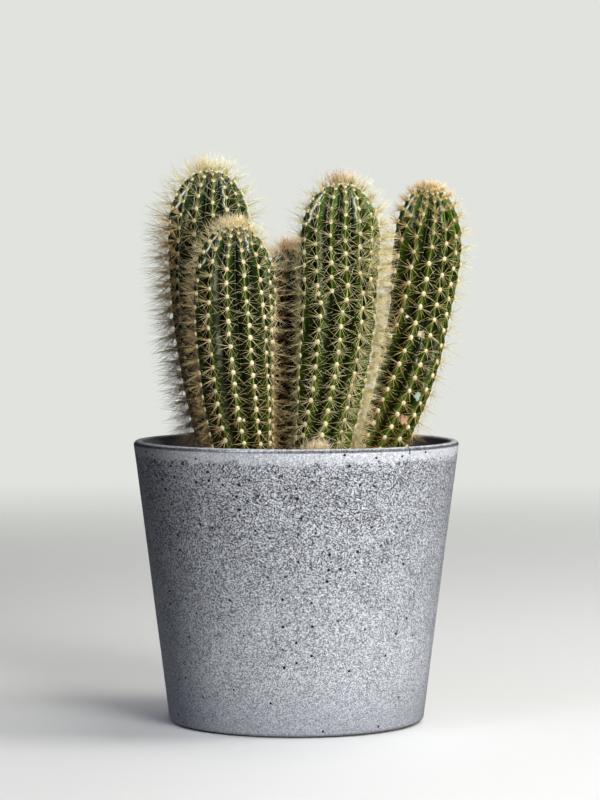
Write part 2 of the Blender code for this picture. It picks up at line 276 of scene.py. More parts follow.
def potOutline():
    # half the pot's section as (radius, height, rounding), from the middle of its underside to
    # the middle of its floor
    top, step, wall, inside = pot["height"], pot["footStep"], pot["wall"], pot["floor"]
    foot, edge = pot["footRadius"], pot["footRound"]
    corners = [(0.0, 0.0, 0.0), (foot, 0.0, edge), (foot + step, step, edge),
               (outerRadius(step), step, pot["heelRound"])]
    count = int(top / pot["ringStep"])
    heights = [top * k / count for k in range(3, count - 1)]
    corners += [(outerRadius(z), z, 0.0) for z in heights]
    corners += [(outerRadius(top), top, pot["lipRound"]), (outerRadius(top) - wall, top, pot["lipRound"])]
    corners += [(outerRadius(z) - wall, z, 0.0) for z in reversed(heights) if z > 20 * mm]
    return corners + [(outerRadius(inside) - wall, inside, pot["innerRound"]), (0.0, inside, 0.0)]


def turnedPot(add, inputs):
    outline = add("FilletCurve", {
        "Curve": add("MeshToCurve", inputs["Geometry"]), "Count": inputs["Round steps"],
        "Radius": add("InputNamedAttribute", "rounding"), "Limit Radius": True}, mode="POLY")
    wheel = add("CurvePrimitiveCircle", {"Resolution": inputs["Sides"], "Radius": 1e-6})
    walls = add("CurveToMesh", {"Curve": wheel, "Profile Curve": outline})
    walls = add("FlipFaces", add("MergeByDistance", walls, {"Distance": 1e-5}))
    # the glaze ran down from the lip and stopped in a low bead, and the thrown wall isn't quite round
    place = add("InputPosition")
    apart = add("SeparateXYZ", place)
    height = apart.node.outputs[2]
    outward = add("VectorMath NORMALIZE", add("CombineXYZ", apart, apart.node.outputs[1]))
    facing = add("VectorMath DOT_PRODUCT", outward, add("InputNormal"), output=1)
    outside = add("MapRange", facing, 0.3, 0.8)
    inside = add("MapRange", facing, -0.3, -0.8)
    up = add("Math SUBTRACT", height, inputs["Bead height"])
    up = add("Math DIVIDE", up, inputs["Bead width"])
    up = add("Math MULTIPLY", add("Math POWER", up, 2.0), -1.0)
    bell = add("Math POWER", 2.71828, up)
    bead = add("Math MULTIPLY", bell, inputs["Bead"])
    uneven = add("TexNoise", {"Vector": place, "Scale": 22.0, "Detail": 1.0})
    uneven = add("Math MULTIPLY", add("MapRange", uneven, 0.3, 0.7, -1.0, 0.0), inputs["Wobble"])
    swell = add("Math MULTIPLY", add("Math", bead, uneven), outside)
    walls = add("StoreNamedAttribute", walls, {"Name": "inside", "Value": inside},
                data_type="FLOAT", domain="POINT")
    walls = add("SetPosition", walls, {"Offset": add("VectorMath SCALE", outward, {"Scale": swell})})
    walls = add("SetMaterial", add("SetShadeSmooth", walls), {"Material": inputs["Glaze"]})
    low = add("Compare LESS_THAN", height, inputs["Foot step"])
    return add("SetMaterial", walls, low, {"Material": inputs["Bare clay"]})


# speckled ash glaze on stoneware: salt-and-pepper grain over pale grey, small dark iron pits,
# soft clouds and a pale band where it pooled under the lip, partly a painted highlight; painted shade
# and a painted highlight on the lip; satin, so that lights spread over it
glaze = {
    "black": "#26272a", "dark": "#7a7d83", "pale": "#a6a9af", "white": "#d9dbe0", "calm": "#adb0b5",
    "pit": "#030304", "inside": "#505255", "grainMm": 0.38, "coarseMm": 0.78, "coarseShare": 0.20,
    "cloudMm": 15, "pitSpacingMm": 6.5, "pitRadiusMm": 0.52, "pitShare": 0.36,
    # black and white specks: (spacing in mm, share of the cells, strength, colour)
    "specks": ((0.64, 0.50, 0.75, "black"), (0.70, 0.40, 0.60, "white")),
}


def stonewareGlaze():
    material, add, shader = newMaterial("speckled_ash_glaze", IOR=1.5, Specular_IOR_Level=0.15)
    place = add("TexCoord", output=3)
    apart = add("SeparateXYZ", place)
    height = apart.node.outputs[2]
    # grain: every tiny cell has its own grey, two sizes of cell mixed
    small, coarse = [add("SeparateColor", add("TexVoronoi", {
        "Vector": place, "Scale": 1000 / glaze[size]}, output=1)) for size in ("grainMm", "coarseMm")]
    grain = add("Mix", {0: glaze["coarseShare"], 2: small, 3: coarse})
    cloud = add("TexNoise", {
        "Vector": place, "Scale": 1000 / glaze["cloudMm"], "Detail": 3.0, "Roughness": 0.6})
    grain = add("Math", grain, add("MapRange", cloud, 0.3, 0.7, -0.05, 0.05))
    grain = add("Math", grain, add("MapRange", height, 40 * mm, 75 * mm, 0.0, -0.06))
    ramp = add("ValToRGB", grain)
    greys = ramp.node.color_ramp.elements
    greys[0].position, greys[0].color = 0.28, linear(glaze["black"])
    greys[1].position, greys[1].color = 0.85, linear(glaze["white"])
    greys.new(0.42).color = linear(glaze["dark"])
    greys.new(0.56).color = linear(glaze["pale"])
    layers = []
    for spacing, share, strength, shade in glaze["specks"]:
        specks = add("TexVoronoi", {"Vector": place, "Scale": 1000 / spacing})
        chosen = add("Math LESS_THAN", add("SeparateColor", specks.node.outputs[1]), share)
        dot = add("MapRange", specks, 0.42, 0.28, 0.0, strength)
        layers.append((add("Math MULTIPLY", dot, chosen), shade))
    # the grain is strongest near the top and calmer lower down
    layers.append((add("MapRange", height, 10 * mm, 100 * mm, 0.38, 0.0), "calm"))
    layers.append((add("MapRange", height, 26 * mm, 3 * mm, 0.0, 0.45), "dark"))
    # the thick pale band under the lip, with a ragged lower edge, where the glaze pooled and which is
    # partly a painted highlight along the lip's bulge; and a thin dark edge on the lip, painted shade for
    # the dark reflection on its rounded outer edge
    ragged = add("TexNoise", {"Vector": place, "Scale": 300.0, "Detail": 3.0})
    edge = add("Math", height, add("MapRange", ragged, 0.3, 0.7, -1.5 * mm, 1.5 * mm))
    for level, start, full, strength, end, gone, shade in (
            (edge, 122.8, 124.3, 0.42, 128.6, 128.2, "white"),
            (height, 128.0, 128.4, 0.75, 129.5, 129.3, "black")):
        band = add("MapRange", level, start * mm, full * mm, 0.0, strength)
        below = add("MapRange", height, end * mm, gone * mm)
        layers.append((add("Math MULTIPLY", band, below), shade))
    # a pale line along the top of the lip: a painted highlight
    layers.append((add("MapRange", height, 129.5 * mm, 129.7 * mm, 0.0, 0.25), "white"))
    # iron pits, laid out on the unrolled wall, most of them near the top
    turn = add("Math ARCTAN2", apart, add("Math MULTIPLY", apart.node.outputs[1], -1.0))
    around = add("Math MULTIPLY", turn, 68 * mm)
    unrolled = add("CombineXYZ", around, height)
    cells = add("TexVoronoi", {"Vector": unrolled, "Scale": 1000 / glaze["pitSpacingMm"]},
                voronoi_dimensions="2D")
    chance = add("SeparateColor", cells.node.outputs[1])
    share = add("MapRange", height, 30 * mm, 110 * mm, glaze["pitShare"] * 0.35, glaze["pitShare"])
    chosen = add("Math LESS_THAN", chance, share)
    radius = glaze["pitRadiusMm"] / glaze["pitSpacingMm"]
    size = add("MapRange", chance.node.outputs[1], 0.0, 1.0, radius * 0.9, radius * 1.5)
    pits = add("MapRange", add("Math SUBTRACT", size, cells), 0.0, radius * 0.15)
    pits = add("Math MULTIPLY", pits, chosen)
    # one short hairline nick in the lip
    nick = add("Math ABSOLUTE", add("Math SUBTRACT", around, 50.2 * mm))
    nick = add("Math MULTIPLY", add("MapRange", nick, 0.50 * mm, 0.32 * mm),
               add("MapRange", height, 126.4 * mm, 126.8 * mm))
    pits = add("Math MAXIMUM", pits, add("Math MULTIPLY", nick, 0.8))
    layers.append((pits, "pit"))
    # darker down the inside
    inside = add("Attribute", output=2, attribute_name="inside")
    layers.append((add("Math MULTIPLY", inside, 0.85), "inside"))
    relief = add("Math SUBTRACT", add("Math MULTIPLY", grain, 0.6), pits)
    connect(shader, Base_Color=layColours(add, ramp, [(share, glaze[shade]) for share, shade in layers]),
            Roughness=add("MapRange", grain, 0.2, 0.8, 0.42, 0.28),
            Normal=add("Bump", {"Strength": 0.35, "Distance": 0.1 * mm, "Height": relief}))
    return material


def bareStoneware():
    # unglazed fired clay: a matt dark warm grey, which shows as the thin foot line
    material, add, shader = newMaterial("bare_stoneware", Roughness=0.9)
    grit = add("TexNoise", {"Vector": add("TexCoord", output=3), "Scale": 1400.0, "Detail": 3.0})
    connect(shader, Base_Color=layColours(add, linear("#2b2724"), [(grit, "#6a625a")]),
            Normal=add("Bump", {"Strength": 0.4, "Distance": 0.1 * mm, "Height": grit}))
    return material


def makePot():
    corners = potOutline()
    points = [(radius, -height, 0.0) for radius, height, _ in corners]     # the sweep turns it over
    guide = meshWithValues("pot_outline", points, [], {"rounding": [c[2] for c in corners]},
                           [(k, k + 1) for k in range(len(corners) - 1)])
    made = growPiece("glazed_pot", guide, turnedPot, {
        "Sides": pot["sides"], "Round steps": pot["roundSteps"], "Bead": pot["bead"],
        "Bead height": pot["beadHeight"], "Bead width": pot["beadWidth"], "Wobble": pot["wobble"],
        "Foot step": pot["footStep"] * 0.99, "Glaze": stonewareGlaze(), "Bare clay": bareStoneware(),
    })
    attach(made, body)
    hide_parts("pot")
    print("pot turned:", triangleCount(made), "triangles, height", [round(c, 4) for c in made.dimensions])


# potting soil: dark fibrous peat, with crumbs, bark chips and a few white grains of perlite

soilLevel = 116.0 * mm
soil = {
    "sides": 96, "rings": 26, "wave": 0.8 * mm, "roughness": 0.9 * mm, "gap": 0.3 * mm, "seed": 4,
    "perSquareMetre": 110000.0, "crumbSize": 0.75 * mm, "chipSize": 1.7 * mm, "chipShare": 0.10,
    "perliteShare": 0.035, "perliteSize": 1.0 * mm,
    # each kind of grain: (its size above, shape, material, draw)
    "grains": (("Crumb size", (1.0, 0.8, 0.7), "Peat", 21), ("Chip size", (1.3, 0.6, 0.28), "Bark", 22),
               ("Perlite size", (1.0, 0.9, 0.8), "Perlite", 23)),
}


def soilHeight(x, y):
    # never over the soil level, so that the level given for the stems stays its highest
    waves = math.sin(170 * x + 1) * math.cos(150 * y) + 0.6 * math.sin(90 * (x + y)) - 1.6
    lumps = noise.noise(Vector((x * 260, y * 260, 3.0))) + 0.5 * noise.noise(Vector((x * 700, y * 700, 8.0)))
    return soilLevel + soil["wave"] * waves + soil["roughness"] * (lumps - 1.1) * 0.5


def soilBody():
    # a closed plug that fills the pot, with a lumpy top
    inner = outerRadius(soilLevel) - pot["wall"] - 3 * soil["gap"]
    shoulder = pot["floor"] + soil["gap"] + pot["innerRound"]
    wide = outerRadius(shoulder) - pot["wall"] - 2 * soil["gap"]
    base = pot["floor"] + soil["gap"]
    rings = [(inner * ring / soil["rings"], None) for ring in range(1, soil["rings"] + 1)]
    rings += [(wide, shoulder), (wide - 1.5 * mm, shoulder - 4 * mm), (wide - pot["innerRound"], base)]
    return roundMesh("soil_body", soil["sides"], rings, soilHeight, base)


def looseSoil(add, inputs):
    plug = add("SetMaterial", add("SetShadeSmooth", inputs["Geometry"]), {"Material": inputs["Peat"]})
    height = add("SeparateXYZ", add("InputPosition"), output=2)
    onTop = add("Compare GREATER_THAN", height, inputs["Level"])
    spots = add("DistributePointsOnFaces", plug, onTop, {"Density": inputs["Grains"], "Seed": inputs["Seed"]})
    kind = add("RandomValue", {2: 0.0, 3: 1.0, 8: 11}, output=1, data_type="FLOAT")
    notCrumb = add("Math", inputs["Perlite share"], inputs["Chip share"])
    isPerlite = add("Compare LESS_THAN", kind, inputs["Perlite share"])
    notCrumb = add("Compare LESS_THAN", kind, notCrumb)
    isCrumb = add("BooleanMath NOT", notCrumb)
    isChip = add("BooleanMath NIMPLY", notCrumb, isPerlite)
    turn = add("RandomValue", (0, 0, 0), (6.28, 6.28, 6.28), {8: 5}, data_type="FLOAT_VECTOR")
    joined = add("JoinGeometry", plug)
    for chosen, (size, shape, material, shift) in zip((isCrumb, isChip, isPerlite), soil["grains"]):
        knobs = add("TexNoise", {"Vector": add("InputPosition"), "Scale": 1.7, "Detail": 1.0}, output=1)
        knobs = add("VectorMath", knobs, (-0.5, -0.5, -0.5))
        lump = add("SetPosition", add("MeshIcoSphere", {"Radius": 1.0, "Subdivisions": 1}), {"Offset": knobs})
        lump = add("SetMaterial", add("Transform", lump, {"Scale": shape}), {"Material": inputs[material]})
        drawn = add("RandomValue", {2: 0.45, 3: 1.15, 8: shift}, output=1, data_type="FLOAT")
        connect(joined.node, Geometry=add("InstanceOnPoints", {
            "Points": spots, "Selection": chosen, "Instance": lump, "Rotation": turn,
            "Scale": add("Math MULTIPLY", inputs[size], drawn)}))
    return joined


def groundMaterial(name, dark, pale, scale, rough):
    # crumbly matt matter in two mixed tones
    material, add, shader = newMaterial(name, Roughness=rough)
    grit = add("TexNoise", {
        "Vector": add("TexCoord", output=3), "Scale": scale, "Detail": 5.0, "Roughness": 0.65})
    connect(shader, Base_Color=layColours(add, linear(dark), [(add("MapRange", grit, 0.35, 0.65), pale)]),
            Normal=add("Bump", {"Strength": 0.8, "Distance": 0.3 * mm, "Height": grit}))
    return material


def makeSoil():
    made = growPiece("loose_potting_soil", soilBody(), looseSoil, {
        "Grains": soil["perSquareMetre"], "Crumb size": soil["crumbSize"], "Chip size": soil["chipSize"],
        "Chip share": soil["chipShare"], "Perlite size": soil["perliteSize"],
        "Perlite share": soil["perliteShare"], "Level": soilLevel - 4 * mm, "Seed": soil["seed"],
        "Peat": groundMaterial("crumbly_dark_peat", "#120c08", "#3a2a1d", 900.0, 0.95),
        "Bark": groundMaterial("weathered_bark_chip", "#3a2415", "#7a5232", 600.0, 0.85),
        "Perlite": groundMaterial("white_perlite_grain", "#b9b4aa", "#e6e2d8", 1500.0, 0.9),
    })
    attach(made, body)
    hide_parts("potting_soil")
    print("soil laid:", triangleCount(made), "triangles")


# stems; a rise is 0 at the soil and 1 at a stem's top, and angles go to the right from the front
# foot and tip: where the stem stands at the soil and at its top; bend: how soon it turns upright
# neck and belly: its radii over the ribs; dome: the height of its rounded top; waist: a slight
# pinch, as (share of height, depth)
# births: the rise where each rib begins, those in seen first, then those round the back
# seen: the ribs that face the front, from left to right, with (mm along the rib from the top,
# degrees) of each areole; spacing: of the other areoles, at mid-height and at the soil, uneven by
# this share and closer within closeTop
# counts: the radial and outstanding spines of an areole, and tuft: how many more a young one has
# spines: the lengths of the radial and outstanding ones and of those at the crown
# upright: how far the crown's spines stand up; thicket: the side in degrees that faces a neighbour
# or the light and grows more spines, with how many more; thick: the spines' thickness against usual
# felt colours: of old areoles and of the crown; pads: the size of its felt pads against usual
# padGrowth: how much larger young pads are, or smaller below 0
# crownRoot: how far young spines take the crown's colour at their root; agedColour: that of low
# spines and of the thicket's, partly their age and partly painted shade; shaded: how far the skin
# takes a dark painted shade, as it stands behind the others

always = -1.0
usualStem = dict(
    dome=0.030, waist=(0.5, 0.0), uneven=0.07, closeTop=11 * mm, tuft=4, upright=0.2, thicket=(0, 0),
    thick=1.0, pads=1.0, padGrowth=-0.16, crownRoot=0.0, shaded=0.0, seen=[[(0, 0)]],
)
stems = {
    "stem_back_left": dict(
        foot=(-0.0310, 0.0210), tip=(-0.0410, 0.0260), top=0.2550, bend=2.7, neck=0.0130, belly=0.0199,
        dome=0.032, births=[always] * 10 + [0.42, always, 0.30, always],
        spacing=(6.0 * mm, 5.3 * mm), seed=3, counts=(8, 4), tuft=5,
        spines=(7.6 * mm, 14.5 * mm, 12.0 * mm), upright=0.15, thicket=(-82, 26), thick=1.05,
        rootColour="#f6efb8", tipColour="#ece096", crownColour="#f8ecc8", agedColour="#eaae5c",
        feltColours=("#f8e8bc", "#f4e2b0"), shaded=0.85,
        seen=[
            [(14.4, -76), (20.8, -69), (27.4, -67), (33.8, -68), (39, -70), (45, -72), (50.9, -74)],
            [(12.3, -42), (18.2, -41), (24.3, -41), (30.7, -42), (36.8, -43), (42.7, -45), (48.7, -46),
             (54.9, -48), (60.9, -49), (66.8, -50)],
            [(10.5, -12), (15.9, -15), (21.7, -16), (27.9, -17), (33.6, -19), (39.9, -19)],
            [(8.4, 13), (13.2, 11), (19.2, 9), (25.1, 7), (31.1, 7)],
            [(11.8, 35), (17.1, 32), (22.5, 30), (28.5, 28), (35, 27)],
            [(8.9, 63), (14.5, 55), (20.4, 52), (26.1, 51), (32, 52), (37.8, 52), (43.2, 48)],
        ],
    ),
    "stem_front_left": dict(
        foot=(-0.0225, -0.0150), tip=(-0.0285, -0.0190), top=0.2286, bend=3.3, neck=0.0120, belly=0.0183,
        births=[always] * 8 + [0.50, 0.66, always, always, 0.58, always],
        spacing=(5.9 * mm, 5.3 * mm), seed=5, counts=(9, 4),
        spines=(7.4 * mm, 11.0 * mm, 8.8 * mm), upright=0.15, thicket=(-92, 12), thick=1.08,
        rootColour="#f8f0c0", tipColour="#ecd694", crownColour="#f6d49c", agedColour="#d8a868",
        feltColours=("#f8e6ba", "#eed09a"), shaded=0.7,
        seen=[
            [(10.5, -57), (15.2, -59), (20.8, -60), (27.2, -61), (33.7, -62), (39.6, -65), (45.8, -71),
             (52.2, -75), (57.7, -77), (63.3, -76), (69.4, -75), (75, -75), (80.2, -76), (85.8, -77),
             (91.2, -77), (96.9, -77), (102.3, -77)],
            [(9.6, -27), (14, -29), (19.3, -32), (25.2, -33), (31.5, -34), (37.4, -35), (43.5, -36),
             (49.3, -38), (54.8, -39), (60.5, -38), (66.5, -36), (72.2, -35), (77.5, -35), (82.7, -35),
             (88.3, -34), (93.7, -33), (99.1, -32), (104.6, -30)],
            [(8, -6), (12.4, -6), (17.3, -7), (22.7, -8), (28.8, -9), (34.9, -9), (40.9, -8), (46.5, -8),
             (52, -7), (57.5, -7), (63.1, -5), (69, -4), (74.7, -3), (79.9, -2), (85.1, -1), (90.7, 0),
             (95.8, 1), (101.2, 3), (106.6, 5)],
            [(10.6, 14), (14.8, 15), (19.9, 15), (25.4, 16), (31.6, 16), (37.5, 17), (43.2, 19),
             (48.7, 21), (54, 23), (59.5, 24), (65.2, 25), (70.9, 26), (76.6, 28), (81.7, 30), (87.1, 31),
             (92.2, 32), (97.6, 34), (103, 36), (108.4, 38)],
            [(7.1, 41), (12, 37), (16.6, 38), (22, 40), (27.6, 41), (33.5, 42), (39.3, 43), (44.9, 46),
             (50.4, 49), (55.6, 52), (61.2, 53), (66.8, 54), (72.7, 56), (77.7, 58), (82.8, 61),
             (88.2, 63), (93.6, 65), (98.9, 65), (104.6, 66), (109.4, 66)],
            [(18.2, 61), (23.8, 63), (29.5, 64), (35.1, 64), (41.2, 64), (46.2, 67), (51.3, 69),
             (56.6, 69), (62.2, 70), (67.7, 73), (73.7, 76), (78.4, 79), (83.8, 82), (90, 84), (96, 85),
             (102, 86), (108, 86)],
        ],
    ),
    "stem_back_middle": dict(
        foot=(0.0005, 0.0270), tip=(-0.0010, 0.0330), top=0.2190, bend=2.5, neck=0.0115, belly=0.0165,
        dome=0.028, births=[always] * 15, spacing=(6.4 * mm, 6.4 * mm), uneven=0.6, seed=8,
        counts=(9, 7), spines=(8.0 * mm, 11.5 * mm, 10.5 * mm), upright=0.3, thicket=(0, 2), thick=1.35,
        rootColour="#fcb084", tipColour="#f49460", crownColour="#f8e0ac", agedColour="#e87c40",
        feltColours=("#dcae74", "#cf9f64"), crownRoot=0.8, shaded=0.8, seen=[[(0, 6)]],
    ),
    "stem_centre": dict(
        foot=(0.0095, -0.0080), tip=(0.0204, -0.0095), top=0.2477, bend=2.6, neck=0.0117, belly=0.0186,
        dome=0.028, waist=(0.62, 0.0006), spacing=(6.4 * mm, 5.4 * mm), seed=13,
        births=[always, always, 0.60, *[always] * 5, 0.33, always, always, 0.45, 0.53, always, always, 0.40],
        counts=(10, 5), spines=(7.6 * mm, 11.0 * mm, 9.5 * mm), upright=0.7, thicket=(76, 26), thick=1.12,
        rootColour="#f7f0b6", tipColour="#f4e8ac", crownColour="#a86038", agedColour="#f8e6b4",
        feltColours=("#f8e6b8", "#f0dca8"), crownRoot=0.3,
        seen=[
            [(15.5, -74), (21.6, -67), (28, -62), (35, -62), (40.9, -62), (46.9, -62), (53.6, -62),
             (60.2, -62), (66.2, -63), (72.2, -65), (78.2, -67), (83.4, -68), (89.2, -69), (94.7, -71),
             (99.7, -71), (105, -72)],
            [(11.6, -46), (18.1, -42), (24.5, -39), (30.9, -38), (37, -37), (43.2, -36), (49.4, -35),
             (56.1, -34), (59.8, -31), (63.9, -27), (70.2, -27), (76.2, -28), (81.9, -29), (87.5, -29),
             (93.3, -30), (98.6, -31), (103.8, -32), (109.1, -34), (114.8, -38), (120.5, -42),
             (125.8, -44)],
            [(8.9, -16), (14.6, -16), (20.7, -16), (26.9, -15), (33.1, -15), (39, -14), (45.4, -13),
             (52, -12), (58.2, -12)],
            [(7.1, 15), (11.4, 11), (17.3, 9), (23.5, 7), (29.5, 6), (35.4, 6), (41.3, 7), (47.8, 9),
             (55.5, 12), (62, 11), (67.7, 6), (74.1, 5), (80.1, 5), (85.6, 5), (91.3, 4), (96.9, 3),
             (101.9, 2), (107.1, 0), (112.6, -1), (118.6, -2), (123.8, -5), (128.3, -6)],
            [(9.8, 39), (14.9, 34), (20.5, 31), (26.4, 29), (32.1, 28), (37.9, 28), (43.5, 28), (49.9, 30),
             (58.6, 37), (65.6, 38), (71.6, 38), (77.8, 37), (83.4, 37), (88.9, 37), (94.7, 36), (100, 34),
             (105, 33), (110.3, 33), (115.9, 33), (121.3, 32), (126.1, 31)],
            [(11.6, 67), (17.4, 59), (23.5, 54), (29.4, 51), (35, 49), (40.5, 48), (46.4, 48), (52.5, 51),
             (62, 62), (68.8, 71), (76.5, 74), (80.2, 73), (86.1, 73), (91.5, 71), (97.5, 68), (102.1, 67),
             (107.2, 68), (112.7, 71), (118.2, 72), (123.1, 73)],
        ],
    ),
    "stem_right": dict(
        foot=(0.0340, 0.0040), tip=(0.0613, 0.0060), top=0.2464, bend=2.3, neck=0.0098, belly=0.0160,
        waist=(0.55, 0.0012), births=[always] * 6 + [0.35, always, 0.55, 0.45, always, 0.62, always],
        spacing=(7.2 * mm, 5.0 * mm), closeTop=26 * mm, padGrowth=-0.32, seed=21,
        counts=(10, 4), tuft=12, spines=(6.8 * mm, 11.0 * mm, 6.0 * mm), thicket=(-88, 16), thick=1.1,
        rootColour="#f6ecac", tipColour="#e8d48c", crownColour="#e4b060", agedColour="#c89250",
        feltColours=("#f8e4b8", "#e8c69a"), crownRoot=0.5, shaded=0.15,
        seen=[
            [(20.4, -37), (25.4, -43), (32.1, -49), (39.9, -55), (47.5, -62), (55.2, -70), (62.4, -78),
             (69.5, -85), (76.6, -91), (83.7, -97), (90.7, -103), (97.8, -109), (105, -115), (112, -120)],
            [(15.3, -7), (19.6, -12), (24.3, -16), (30.4, -20), (37.5, -23), (44.8, -26), (52.3, -28),
             (58.9, -32), (65.7, -37), (72.6, -42), (78.7, -52), (85.2, -59), (91.1, -64), (98, -69),
             (105.9, -73), (110, -76), (114.1, -80)],
            [(18.4, 12), (22.7, 10), (28.3, 8), (34.8, 6), (42.4, 3), (49.7, 2), (56.4, 0), (63, -2),
             (70.2, -6), (77.1, -9), (83.6, -15), (90.1, -19), (96.6, -23), (102.5, -29), (107.6, -33),
             (113.2, -36), (118.9, -37), (124.7, -40)],
            [(17.2, 31), (26.4, 31), (32.9, 31), (39.7, 29), (47.1, 28), (53.7, 28), (60.6, 27),
             (67.3, 28), (74.5, 26), (81.5, 24), (88, 20), (94.2, 17), (100.3, 14), (106.2, 11),
             (111.6, 7), (117.6, 5), (122.9, 0)],
            [(29.5, 53), (36.5, 53), (43.7, 51), (50.6, 50), (57.1, 52), (64.1, 56), (71.2, 58),
             (77.8, 60), (84.9, 58), (91.2, 56), (97.7, 52), (104.1, 49), (109.6, 46), (115.4, 43),
             (121.2, 35)],
        ],
    ),
    "offset_pup": dict(
        foot=(0.0052, -0.0320), tip=(0.0095, -0.0338), top=0.1262, bend=1.5, neck=0.0036, belly=0.0044,
        dome=0.008, births=[always] * 8, spacing=(3.4 * mm, 3.4 * mm), seed=34,
        counts=(8, 6), spines=(7.0 * mm, 9.5 * mm, 10.5 * mm), upright=1.6, pads=0.6,
        rootColour="#f0d0a4", tipColour="#f6d8b8", crownColour="#f4d4b0", agedColour="#d4ae74",
        feltColours=("#fff0d8", "#fff0d8"),
    ),
}
for name, own in stems.items():
    stems[name] = {**usualStem, **own}

skin = {
    "columnsPerRib": 14, "rowStep": 1.15 * mm, "ribDepth": 0.21, "grooveShape": 1.2, "swelling": 0.32 * mm,
    "domeShape": 2.2, "waistLength": 0.12, "growthSpan": 0.07, "least": 0.04, "ribFade": 10 * mm,
    "uneven": 0.010, "below": 4 * mm,
    # how far the crown and the young growth reach along a rib from the top, fading between the two
    # values, and between which rises the growth is old, where its spines take the aged colour, partly
    # their age and partly painted shade
    "crownSpan": (3 * mm, 12 * mm), "youngSpan": (14 * mm, 46 * mm), "agedSpan": (0.05, 0.75),
}


def axisPoint(stem, rise):
    eased = 1 - (1 - rise) ** stem["bend"]
    x, y = [start + (end - start) * eased for start, end in zip(stem["foot"], stem["tip"])]
    return Vector((x, y, soilLevel + (stem["top"] - soilLevel) * rise))


def axisDirection(stem, rise):
    low, high = max(0.0, rise - 0.002), min(1.0, rise + 0.002)
    return (axisPoint(stem, high) - axisPoint(stem, low)).normalized()


def girth(stem, rise):
    # radius over the rib crests
    start = 1 - stem["dome"] / (stem["top"] - soilLevel)
    place, depth = stem["waist"]
    pinch = depth * math.exp(-(((rise - place) / skin["waistLength"]) ** 2))
    if rise <= start:
        swell = math.sin(math.pi / 2 * max(rise, 0) / start)
        return stem["neck"] + (stem["belly"] - stem["neck"]) * swell - pinch
    up = min(1.0, (rise - start) / (1 - start))
    shape = skin["domeShape"]
    return stem["belly"] * (1 - up ** shape) ** (1 / shape) - pinch * (1 - up)


def crestAngle(column, distance):
    # the angle of a measured rib at this distance from the top, in radians from the front
    reach = distance / mm
    if reach <= column[0][0]:
        return math.radians(column[0][1])
    for (near, first), (far, second) in zip(column, column[1:]):
        if reach <= far:
            return math.radians(first + (second - first) * (reach - near) / (far - near))
    return math.radians(column[-1][1])


def ribLayout(stem, distance, rise):
    # (rib, left edge, crest, right edge, share grown) of each rib here, in radians from the front
    grown = {}
    for rib, birth in enumerate(stem["births"]):
        share = 1.0 if birth < 0 else smooth(rise, birth, birth + skin["growthSpan"])
        if share > skin["least"]:
            grown[rib] = share
    crests = {rib: crestAngle(column, distance) for rib, column in enumerate(stem["seen"]) if rib in grown}
    # the ribs round the back share out what the seen ones leave
    first, last = min(crests), max(crests)
    hidden = [rib for rib in grown if rib not in crests]
    chain = [last] + hidden + [first]
    gaps = [(grown[a] + grown[b]) / 2 for a, b in zip(chain, chain[1:])]
    unit = (crests[first] + 2 * math.pi - crests[last]) / sum(gaps)
    place = crests[last]
    for rib, gap in zip(hidden, gaps):
        place += gap * unit
        crests[rib] = place + 0.035 * noise.noise(Vector((rib * 3.1, rise * 4, stem["seed"])))
    order = list(grown)
    edges = []
    for here, after in zip(order, order[1:] + order[:1]):
        between = crests[after] - crests[here] + (2 * math.pi if after == order[0] else 0)
        edges.append(crests[here] + between * grown[here] / (grown[here] + grown[after]))
    lefts = [edges[-1] - 2 * math.pi] + edges[:-1]
    return [(rib, left, crests[rib], right, grown[rib]) for rib, left, right in zip(order, lefts, edges)]


def skinPoint(stem, rise, angle):
    # a point on the round body that the ribs are cut into, and the way outward there
    direction = axisDirection(stem, rise)
    right = (Vector((1, 0, 0)) - direction * direction.x).normalized()
    turn = math.radians(-90) + angle
    outward = right * math.cos(turn) + direction.cross(right) * math.sin(turn)
    spot = Vector((math.cos(angle) * 1.3, math.sin(angle) * 1.3, rise * 5 + stem["seed"]))
    uneven = 1 + noise.noise(spot) * skin["uneven"]      # no plant is drawn with a ruler
    return axisPoint(stem, rise) + outward * girth(stem, rise) * uneven, outward


def meridian(stem):
    # (distance along a crest from the apex, rise) in fine steps, apex first
    steps = 600
    rises = [1 - (k / steps) ** 1.6 for k in range(steps + 1)]
    table = [(0.0, 1.0)]
    climb = stem["top"] - soilLevel
    for above, here in zip(rises, rises[1:]):
        side = girth(stem, here) - girth(stem, above)
        table.append((table[-1][0] + math.hypot(side, (above - here) * climb), here))
    return table


def riseAt(table, distance):
    low, high = 0, len(table) - 1
    while high - low > 1:
        middle = (low + high) // 2
        if table[middle][0] < distance:
            low = middle
        else:
            high = middle
    (near, riseNear), (far, riseFar) = table[low], table[high]
    share = (distance - near) / max(far - near, 1e-9)
    return riseNear + (riseFar - riseNear) * min(1.0, max(0.0, share))


def areoleRows(stem, table):
    # for each rib, the distances from the apex at which its areoles sit
    draw = random.Random(stem["seed"])
    middle, low = stem["spacing"]
    total = table[-1][0]

    def stepAt(distance):
        step = middle + (low - middle) * smooth(distance, total * 0.55, total)
        step *= 0.42 + 0.58 * smooth(distance, 0.0, stem["closeTop"])
        return step * (1 + stem["uneven"] * (draw.random() - 0.5))

    rows = []
    for rib, birth in enumerate(stem["births"]):
        if rib < len(stem["seen"]) and len(stem["seen"][rib]) > 1:
            row = [entry[0] * mm for entry in stem["seen"][rib]]
            while row[0] > 2.2 * mm:
                row.insert(0, row[0] - stepAt(row[0] * 0.8))
        else:
            row = [middle * (0.20 + 0.80 * draw.random())]
        while row[-1] < total - 6 * mm:
            row.append(row[-1] + stepAt(row[-1]))
        rows.append([d for d in row if d > 1.0 * mm and birth < riseAt(table, d) - skin["growthSpan"] * 0.4])
    return rows


def swellAt(row, distance):
    # 1 at an areole and -1 halfway to the next
    if not row or distance > row[-1] or distance < row[0]:
        return 0.0
    for near, far in zip(row, row[1:]):
        if distance <= far:
            return math.cos(2 * math.pi * (distance - near) / (far - near))
    return 0.0


